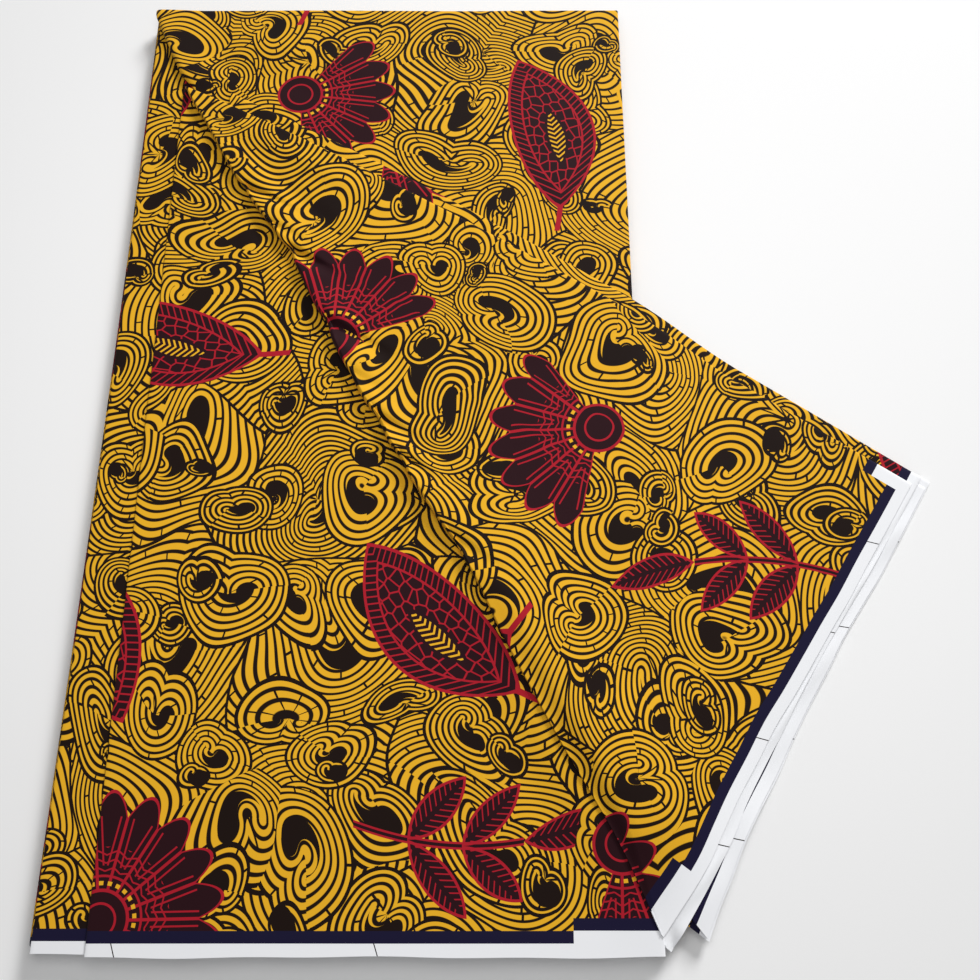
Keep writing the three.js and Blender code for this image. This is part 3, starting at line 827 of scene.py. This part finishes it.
GOLD = linear(237, 178, 38)
INK = linear(26, 13, 8)
CRIMSON = linear(174, 26, 42)
MAROON = linear(40, 12, 19)
NAVY = linear(24, 20, 50)
WHITE = linear(246, 247, 250)


class Tree:
    """Adds and joins the nodes of one shader tree."""

    def __init__(self, tree):
        self.tree = tree

    def node(self, kind, inputs=(), **settings):
        made = self.tree.nodes.new(kind)
        for name, value in settings.items():
            setattr(made, name, value)
        for name, value in dict(inputs).items():
            self.feed(made.inputs[name], value)
        return made

    def feed(self, socket, value):
        if isinstance(value, bpy.types.NodeSocket):
            self.tree.links.new(value, socket)
        else:
            socket.default_value = value

    def maths(self, operation, *values):
        made = self.tree.nodes.new("ShaderNodeMath")
        made.operation = operation
        for socket, value in zip(made.inputs, values):
            self.feed(socket, value)
        return made.outputs[0]

    def vector(self, operation, *values):
        made = self.tree.nodes.new("ShaderNodeVectorMath")
        made.operation = operation
        for socket, value in zip(made.inputs, values):
            self.feed(socket, value)
        return made.outputs["Value" if operation == "LENGTH" else "Vector"]

    def scaled(self, vector, by):
        made = self.tree.nodes.new("ShaderNodeVectorMath")
        made.operation = "SCALE"
        self.feed(made.inputs[0], vector)
        self.feed(made.inputs["Scale"], by)
        return made.outputs[0]

    def split(self, vector):
        return self.node("ShaderNodeSeparateXYZ", {"Vector": vector}).outputs[:2]

    def joined(self, x, y):
        return self.node("ShaderNodeCombineXYZ", {"X": x, "Y": y}).outputs[0]

    def step(self, value, low, high):
        """0 on the side of low and 1 on that of high, with a soft change between."""
        made = self.node("ShaderNodeMapRange", {"Value": value, "From Min": low, "From Max": high})
        made.interpolation_type = "SMOOTHSTEP"
        return made.outputs[0]

    def colour(self, factor, a, b):
        made = self.node("ShaderNodeMix", data_type="RGBA")
        self.feed(made.inputs[0], factor)
        self.feed(made.inputs[6], a)
        self.feed(made.inputs[7], b)
        return made.outputs[2]

    def blend(self, factor, a, b):
        made = self.node("ShaderNodeMix", data_type="FLOAT")
        self.feed(made.inputs[0], factor)
        self.feed(made.inputs[2], a)
        self.feed(made.inputs[3], b)
        return made.outputs[0]

    def times(self, a, b):
        return self.maths("MULTIPLY", a, b)

    def plus(self, a, b):
        return self.maths("ADD", a, b)

    def minus(self, a, b):
        return self.maths("SUBTRACT", a, b)

    def size(self, value):
        return self.maths("ABSOLUTE", value)

    def above(self, value, limit):
        return self.maths("GREATER_THAN", value, limit)

    def below(self, value, limit):
        return self.maths("LESS_THAN", value, limit)

    def near(self, value, target, half):
        return self.below(self.size(self.minus(value, target)), half)

    def stripes(self, along, pitch, half):
        """Lines of a half width across a length, evenly spaced."""
        return self.below(self.maths("PINGPONG", along, pitch / 2), half)

    def any_of(self, *masks):
        result = masks[0]
        for mask in masks[1:]:
            result = self.maths("MAXIMUM", result, mask)
        return result

    def all_of(self, *masks):
        result = masks[0]
        for mask in masks[1:]:
            result = self.times(result, mask)
        return result

    def chanced(self, chance, least, added):
        """A value from least up, by the share of chance of what is added."""
        return self.maths("MULTIPLY_ADD", chance, added, least)

    def cells(self, place, scale, uneven, **settings):
        return self.node("ShaderNodeTexVoronoi", {"Vector": place, "Scale": scale, "Randomness": uneven},
                         voronoi_dimensions="2D", **settings).outputs

    def to_border(self, place, scale, uneven):
        """Distance from the border between cells, as a share of their spacing."""
        return self.cells(place, scale, uneven, feature="DISTANCE_TO_EDGE")["Distance"]

    def in_cell(self, place, scale, uneven):
        """A cell's three chances, the way from its centre, and x and y of it turned by chance."""
        cell = self.cells(place, scale, uneven)
        chance = self.node("ShaderNodeSeparateXYZ", {"Vector": cell["Color"]}).outputs
        from_centre = self.vector("SUBTRACT", place, cell["Position"])
        angle = self.times(chance[0], FULL_TURN)
        turned = self.node("ShaderNodeVectorRotate", {"Vector": from_centre, "Angle": angle},
                           rotation_type="Z_AXIS").outputs[0]
        return chance, from_centre, *self.split(turned)

    def bent(self, x, y, bend):
        """y, moved sideways along a curve of x."""
        return self.plus(y, self.times(self.times(x, x), bend))

    def bar(self, x, y, middle, half_length, half_width):
        return self.all_of(self.near(x, middle, half_length), self.near(y, 0, half_width))


def new_group(name, outputs, numbers=()):
    """A group that takes a place, and numbers where it needs them."""
    group = bpy.data.node_groups.new(name, "ShaderNodeTree")
    group.interface.new_socket("Place", in_out="INPUT", socket_type="NodeSocketVector")
    for way, titles in (("INPUT", numbers), ("OUTPUT", outputs)):
        for title in titles:
            group.interface.new_socket(title, in_out=way, socket_type="NodeSocketFloat")
    tree = Tree(group)
    return tree, tree.node("NodeGroupInput").outputs, tree.node("NodeGroupOutput").inputs


def curl_layer_group():
    """Nested lines round one short dark arc in each cell, the curls of the print's ground."""
    tree, given, out = new_group(
        "curl layer", ["Inked", "Inside"], ["Spacing", "Lines", "Line Pitch", "Arc Radius"])
    scale = tree.maths("DIVIDE", 1.0, given["Spacing"])
    chance, from_centre, x, y = tree.in_cell(given["Place"], scale, UNEVEN)

    # The arc, mirrored about the line through its middle, and the distance from it
    spread = tree.chanced(chance[2], *ARC_SPREAD)
    radius = tree.times(given["Arc Radius"], tree.chanced(chance[1], *ARC_SIZE))
    pitch = tree.times(given["Line Pitch"], tree.chanced(chance[2], *PITCH_SPREAD))
    side, ahead = tree.maths("SINE", spread), tree.maths("COSINE", spread)
    beside = tree.size(x)
    reach = tree.vector("LENGTH", from_centre)
    past_end = tree.above(tree.times(ahead, beside), tree.times(side, y))
    to_end = tree.vector("LENGTH", tree.joined(
        tree.minus(beside, tree.times(side, radius)),
        tree.minus(y, tree.times(ahead, radius))))
    to_arc = tree.blend(past_end, tree.size(tree.minus(reach, radius)), to_end)
    lopsided = tree.maths("MULTIPLY_ADD", x, LOPSIDED, to_arc)

    # Lines at an even pitch round it, the arc itself filled in, and short marks across some bands
    band = tree.maths("DIVIDE", lopsided, pitch)
    from_line = tree.times(tree.maths("PINGPONG", band, 0.5), pitch)
    line = tree.step(from_line, LINE_HALF + LINE_SOFT, LINE_HALF - LINE_SOFT)
    fatter = tree.times(tree.maths("DIVIDE", x, radius), SEED_FATTER)
    seed = tree.below(tree.plus(lopsided, fatter), SEED_HALF)
    ring_chance = tree.node("ShaderNodeTexWhiteNoise", {
        "Vector": tree.joined(tree.maths("FLOOR", band), chance[1])}, noise_dimensions="2D").outputs["Value"]
    shift = tree.times(ring_chance, RUNG_TURN)
    angle = tree.maths("MULTIPLY_ADD", tree.maths("ARCTAN2", y, x), RUNGS, shift)
    from_rung = tree.times(tree.size(tree.maths("SINE", angle)), reach)
    rung = tree.all_of(tree.below(from_rung, RUNG_HALF * RUNGS), tree.above(ring_chance, RUNG_CHANCE),
                       tree.above(band, 1.0))

    # The rim past the last line, which is one further out in half of the cells
    lines = tree.plus(given["Lines"], tree.above(chance[1], 0.5))
    from_rim = tree.times(tree.minus(lines, band), pitch)
    tree.feed(out["Inked"], tree.any_of(line, seed, rung, tree.below(from_rim, RIM_WIDTH)))
    tree.feed(out["Inside"], tree.above(from_rim, -RIM_REACH))
    return tree.tree


def curled_ground_group(layer):
    """The whole ground: wide curls meeting along dark lines, with smaller curls over them."""
    tree, given, out = new_group("curled ground", ["Inked"])
    drift = tree.node("ShaderNodeTexNoise", {
        "Vector": tree.scaled(given["Place"], 1 / DRIFT_LENGTH), "Scale": 1.0, "Detail": 0.0},
        noise_dimensions="2D").outputs["Color"]
    drift = tree.scaled(tree.vector("SUBTRACT", drift, (0.5, 0.5, 0.5)), DRIFT)
    place = tree.vector("ADD", given["Place"], drift)
    inked = None
    for shift, spacing, lines, pitch, radius in CURL_FAMILIES:
        shifted = tree.vector("ADD", place, shift)
        made = tree.node("ShaderNodeGroup", node_tree=layer)
        for socket, value in zip(made.inputs, (shifted, spacing, lines, pitch, radius)):
            tree.feed(socket, value)
        if inked is None:
            border = tree.to_border(shifted, 1 / spacing, UNEVEN)
            inked = tree.any_of(made.outputs["Inked"], tree.below(border, LINE_HALF / spacing))
        else:
            inked = tree.blend(made.outputs["Inside"], inked, made.outputs["Inked"])
    tree.feed(out["Inked"], inked)
    return tree.tree


def pointed_oval(tree, x, y, length, width):
    """Distance outside an oval with two pointed ends, of a half length and half width."""
    radius = (length ** 2 + width ** 2) / (2 * width)
    lowered = tree.plus(tree.size(y), radius - width)
    return tree.minus(tree.vector("LENGTH", tree.joined(x, lowered)), radius)


def leaf_parts(tree, x, y):
    """A broad leaf: veined border, netted middle, gold strokes on its midrib, and a short stem."""
    bent = tree.bent(x, y, LEAF_BEND)
    leaf = pointed_oval(tree, x, bent, LEAF_HALF_LENGTH, LEAF_HALF_WIDTH)
    stem = tree.bar(x, bent, *LEAF_STEM)
    slant, pitch, half = LEAF_VEINS
    slanted = tree.maths("MULTIPLY_ADD", tree.size(bent), slant, x)
    border = tree.all_of(tree.above(leaf, -LEAF_BORDER), tree.stripes(slanted, pitch, half))
    mesh, half, squeeze, uneven = LEAF_NET
    net = tree.to_border(tree.joined(x, tree.times(bent, squeeze)), 1 / mesh, uneven)
    net = tree.all_of(tree.below(leaf, -LEAF_BORDER), tree.below(net, half / mesh))
    back, beside, length, width = LEAF_EYE
    eye = pointed_oval(tree, tree.plus(x, back), tree.minus(bent, beside), length, width)
    dark_eye = tree.minus(1.0, tree.below(eye, LEAF_EYE_RIM))
    red = tree.any_of(border, net, tree.near(leaf, -LEAF_BORDER, LEAF_NET_EDGE))
    red = tree.any_of(tree.all_of(red, dark_eye), tree.above(leaf, -LEAF_RIM))
    inset, pitch, half = LEAF_EYE_STROKES
    gold = tree.all_of(tree.below(eye, -inset), tree.stripes(slanted, pitch, half))
    return tree.any_of(tree.below(leaf, 0), stem), red, gold


def fan_parts(tree, x, y):
    """An open flower seen from its side: petals spread from a round base."""
    petal = FAN_SPREAD / PETALS
    shifted = tree.plus(x, FAN_SHIFT)
    reach = tree.vector("LENGTH", tree.joined(shifted, y))
    angle = tree.maths("ARCTAN2", y, shifted)
    share = tree.maths("PINGPONG", tree.plus(angle, FAN_SPREAD), petal)
    from_side = tree.times(share, reach)
    hump = tree.maths("SINE", tree.times(share, QUARTER_TURN / petal))
    inward = tree.minus(tree.maths("MULTIPLY_ADD", hump, PETAL_HUMP, PETAL_SIDE), reach)
    in_fan = tree.all_of(tree.below(tree.size(angle), FAN_SPREAD), tree.above(inward, 0))
    body = tree.any_of(in_fan, tree.below(reach, FAN_BASE))
    side, half, middle, half_length = FAN_VEINS
    veins = tree.all_of(tree.near(from_side, side, half), tree.near(reach, middle, half_length))
    slant, pitch, half, middle, half_length = FAN_RIBS
    slanted = tree.plus(reach, tree.times(from_side, slant))
    ribs = tree.all_of(tree.stripes(slanted, pitch, half), tree.near(reach, middle, half_length))
    rings = [tree.near(reach, radius, half) for radius, half in FAN_RINGS]
    red = tree.any_of(tree.below(from_side, PETAL_LINE), tree.below(inward, PETAL_RIM), veins, ribs, *rings)
    red = tree.all_of(red, tree.above(reach, FAN_BARE))
    radius, half, pitch, half_length = FAN_BEADS
    round_base = tree.times(angle, radius)
    gold = tree.all_of(tree.near(reach, radius, half), tree.stripes(round_base, pitch, half_length))
    return body, tree.any_of(red, tree.near(reach, *FAN_SEEDS)), gold


def sprig_parts(tree, x, y):
    """A branch of slim leaves: two pairs and one at the tip, with no gold in it."""
    bent = tree.bent(x, y, SPRIG_BEND)
    beside = tree.size(bent)
    slant, pitch, half = SPRIG_VEINS
    leaves = []
    for start, lean, length, width in SPRIG_LEAVES:
        from_start = tree.minus(x, start)
        along = tree.plus(tree.times(from_start, math.cos(lean)),
                           tree.times(beside, math.sin(lean)))
        across = tree.minus(tree.times(beside, math.cos(lean)),
                            tree.times(from_start, math.sin(lean)))
        outside = pointed_oval(tree, tree.minus(along, length), across, length, width)
        from_midrib = tree.size(across)
        slanted = tree.maths("MULTIPLY_ADD", from_midrib, slant, along)
        veins = tree.all_of(tree.stripes(slanted, pitch, half), tree.above(from_midrib, SPRIG_MIDRIB))
        leaf = tree.below(outside, 0)
        leaves.append((leaf, tree.all_of(leaf, tree.any_of(tree.above(outside, -SPRIG_RIM), veins))))
    stem = tree.bar(x, bent, *SPRIG_STEM)
    body = tree.any_of(stem, *[leaf for leaf, red in leaves])
    stem_sides = tree.all_of(stem, tree.above(beside, SPRIG_STEM_CORE))
    return body, tree.any_of(*[red for leaf, red in leaves], stem_sides), 0.0


def motif_group():
    """One dark motif to each cell of a wide, slightly uneven layout: a leaf, an open flower or a sprig."""
    tree, given, out = new_group("motifs", ["Body", "Crimson", "Gold"])
    chance, _, x, y = tree.in_cell(given["Place"], 1 / MOTIF_SPACING, MOTIF_UNEVEN)
    is_leaf = tree.below(chance[1], LEAF_BELOW)
    is_sprig = tree.above(chance[1], SPRIG_ABOVE)
    parts = zip(leaf_parts(tree, x, y), fan_parts(tree, x, y), sprig_parts(tree, x, y))
    body, crimson, gold = [
        tree.blend(is_leaf, tree.blend(is_sprig, fan, sprig), leaf) for leaf, fan, sprig in parts]
    tree.feed(out["Body"], body)
    tree.feed(out["Crimson"], tree.all_of(body, crimson))
    tree.feed(out["Gold"], tree.all_of(body, gold))
    return tree.tree


def selvedge_group():
    """The plain near border: white edge, navy band stepping round bare boxes, and thin slanted marks."""
    tree, given, out = new_group("selvedge", ["Navy", "White", "Mark"])
    along, inward = tree.split(given["Place"])
    white = tree.below(inward, WHITE_BAND)
    navy = tree.below(inward, NAVY_BAND)
    marked = white
    for start, end, deep in BARE_BOXES:
        beside = tree.near(along, (start + end) / 2, (end - start) / 2)
        white = tree.any_of(white, tree.all_of(beside, tree.below(inward, deep)))
        navy = tree.any_of(navy, tree.all_of(beside, tree.below(inward, deep + NAVY_BAND - WHITE_BAND)))
        marked = tree.all_of(marked, tree.minus(1.0, beside))
    slanted = tree.maths("MULTIPLY_ADD", inward, MARK_SLANT, tree.plus(along, MARK_START))
    tree.feed(out["Navy"], navy)
    tree.feed(out["White"], white)
    tree.feed(out["Mark"], tree.all_of(tree.stripes(slanted, MARK_SPACING, MARK_HALF), marked))
    return tree.tree


def wax_print_material():
    """Printed cotton: the print laid out in the cloth's own flat places, and a fine plain weave."""
    material = bpy.data.materials.new("wax print cotton")
    material.use_nodes = True
    tree = Tree(material.node_tree)
    shader = material.node_tree.nodes["Principled BSDF"]
    uv = tree.node("ShaderNodeUVMap", uv_map="cloth").outputs[0]
    place = tree.scaled(uv, 1 / MM)
    masks = {}
    for group in [curled_ground_group(curl_layer_group()), motif_group(), selvedge_group()]:
        made = tree.node("ShaderNodeGroup", node_tree=group)
        tree.feed(made.inputs["Place"], place)
        masks.update({socket.name: socket for socket in made.outputs})
    dye = tree.colour(masks["Inked"], GOLD, INK)
    for name, ink in [("Body", MAROON), ("Crimson", CRIMSON), ("Gold", GOLD), ("Navy", NAVY),
                      ("White", WHITE), ("Mark", INK)]:
        dye = tree.colour(masks[name], dye, ink)
    tree.feed(shader.inputs["Base Color"], dye)
    weave = {"Vector": place, "Scale": WEAVE_SCALE}
    threads, picks = [
        tree.node("ShaderNodeTexWave", weave, bands_direction=way).outputs["Fac"] for way in "XY"]
    bump = tree.node("ShaderNodeBump", {
        "Height": tree.plus(threads, picks), "Strength": THREAD_STRENGTH, "Distance": THREAD_DEPTH})
    tree.feed(shader.inputs["Normal"], bump.outputs[0])
    shader.inputs["Roughness"].default_value = COTTON_ROUGHNESS
    shader.inputs["Specular IOR Level"].default_value = COTTON_SHINE
    shader.inputs["Sheen Weight"].default_value = COTTON_SHEEN
    return material


def paint(piece, material):
    piece.data.materials.clear()
    piece.data.materials.append(material)


FLOOR_SIZE = 8.0
FLOOR_DROP = 0.0003  # keeps the floor just clear of the lowest page
FLOOR_GREY = (0.95, 0.95, 0.95, 1)
FLOOR_ROUGHNESS = 0.9
ROOM_WHITE = (1, 1, 1, 1)
ROOM_LIGHT = 0.26
# Square lamps: name, place, size and power
LAMPS = [
    ("key light", (1.2, 2.15, 1.5), 0.9, 74),
    ("pool light", (-0.04, -0.02, 0.6), 0.4, 1.2),
]


def pale_floor():
    deselect()
    bpy.ops.mesh.primitive_plane_add(size=FLOOR_SIZE, location=(0, 0, -FLOOR_DROP))
    floor = bpy.context.active_object
    floor.name = "floor"
    pale = bpy.data.materials.new("pale floor")
    pale.use_nodes = True
    shader = pale.node_tree.nodes["Principled BSDF"]
    shader.inputs["Base Color"].default_value = FLOOR_GREY
    shader.inputs["Roughness"].default_value = FLOOR_ROUGHNESS
    paint(floor, pale)


def studio_light():
    """Even light all round, and square lamps that look at the middle of the cloth."""
    world = bpy.data.worlds.new("studio")
    world.use_nodes = True
    room = world.node_tree.nodes["Background"]
    room.inputs["Color"].default_value = ROOM_WHITE
    room.inputs["Strength"].default_value = ROOM_LIGHT
    bpy.context.scene.world = world
    for name, place, size, power in LAMPS:
        bpy.ops.object.light_add(type="AREA", location=place)
        lamp = bpy.context.active_object
        lamp.name = name
        lamp.data.size = size
        lamp.data.energy = power
        aim = -np.array(place)
        lean = math.atan2(np.hypot(aim[0], aim[1]), -aim[2])
        lamp.rotation_euler = (lean, 0, math.atan2(aim[1], aim[0]) - QUARTER_TURN)


CAMERA_OVER = np.array([232.7, 60.5, 556.0])  # from the stack's near left corner
CAMERA_DOWN = 71.39  # degrees below the horizon
LENS = 36.73
SENSOR = 36
CLOSEST = 0.01


def camera():
    place = (CAMERA_OVER + STACK_CORNER) * MM
    bpy.ops.object.camera_add(location=place, rotation=(math.radians(90 - CAMERA_DOWN), 0, 0))
    view = bpy.context.active_object
    view.name = "camera"
    view.data.lens = LENS
    view.data.sensor_width = SENSOR
    view.data.clip_start = CLOSEST
    bpy.context.scene.camera = view


def declare(piece, node):
    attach(piece, "root")
    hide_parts(node)


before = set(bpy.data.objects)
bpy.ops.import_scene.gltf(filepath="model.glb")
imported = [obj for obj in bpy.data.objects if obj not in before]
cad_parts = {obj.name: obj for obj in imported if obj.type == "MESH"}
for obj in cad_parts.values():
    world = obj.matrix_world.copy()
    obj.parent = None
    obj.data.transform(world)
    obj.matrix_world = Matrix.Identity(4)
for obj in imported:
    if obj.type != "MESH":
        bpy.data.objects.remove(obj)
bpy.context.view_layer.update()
camera()
pale_floor()
studio_light()
bpy.context.scene.view_settings.view_transform = "Standard"

printed = wax_print_material()

block = folded_stack()
under = stack_page()
front = front_page()
inner = inner_page()
wing = wing_page()
plies = [wing_ply(*ply) for ply in PLIES]
for piece in [block, under, front, inner, wing, *plies]:
    paint(piece, printed)

declare(block, "folded_stack")
declare(under, "stack_page")
declare(front, "front_page")
declare(inner, "inner_page")
declare(wing, "wing_page")
for piece, (node, number, *_), area in zip(plies, PLIES, (0.067, 0.027, 0.028)):
    declare(piece, node)
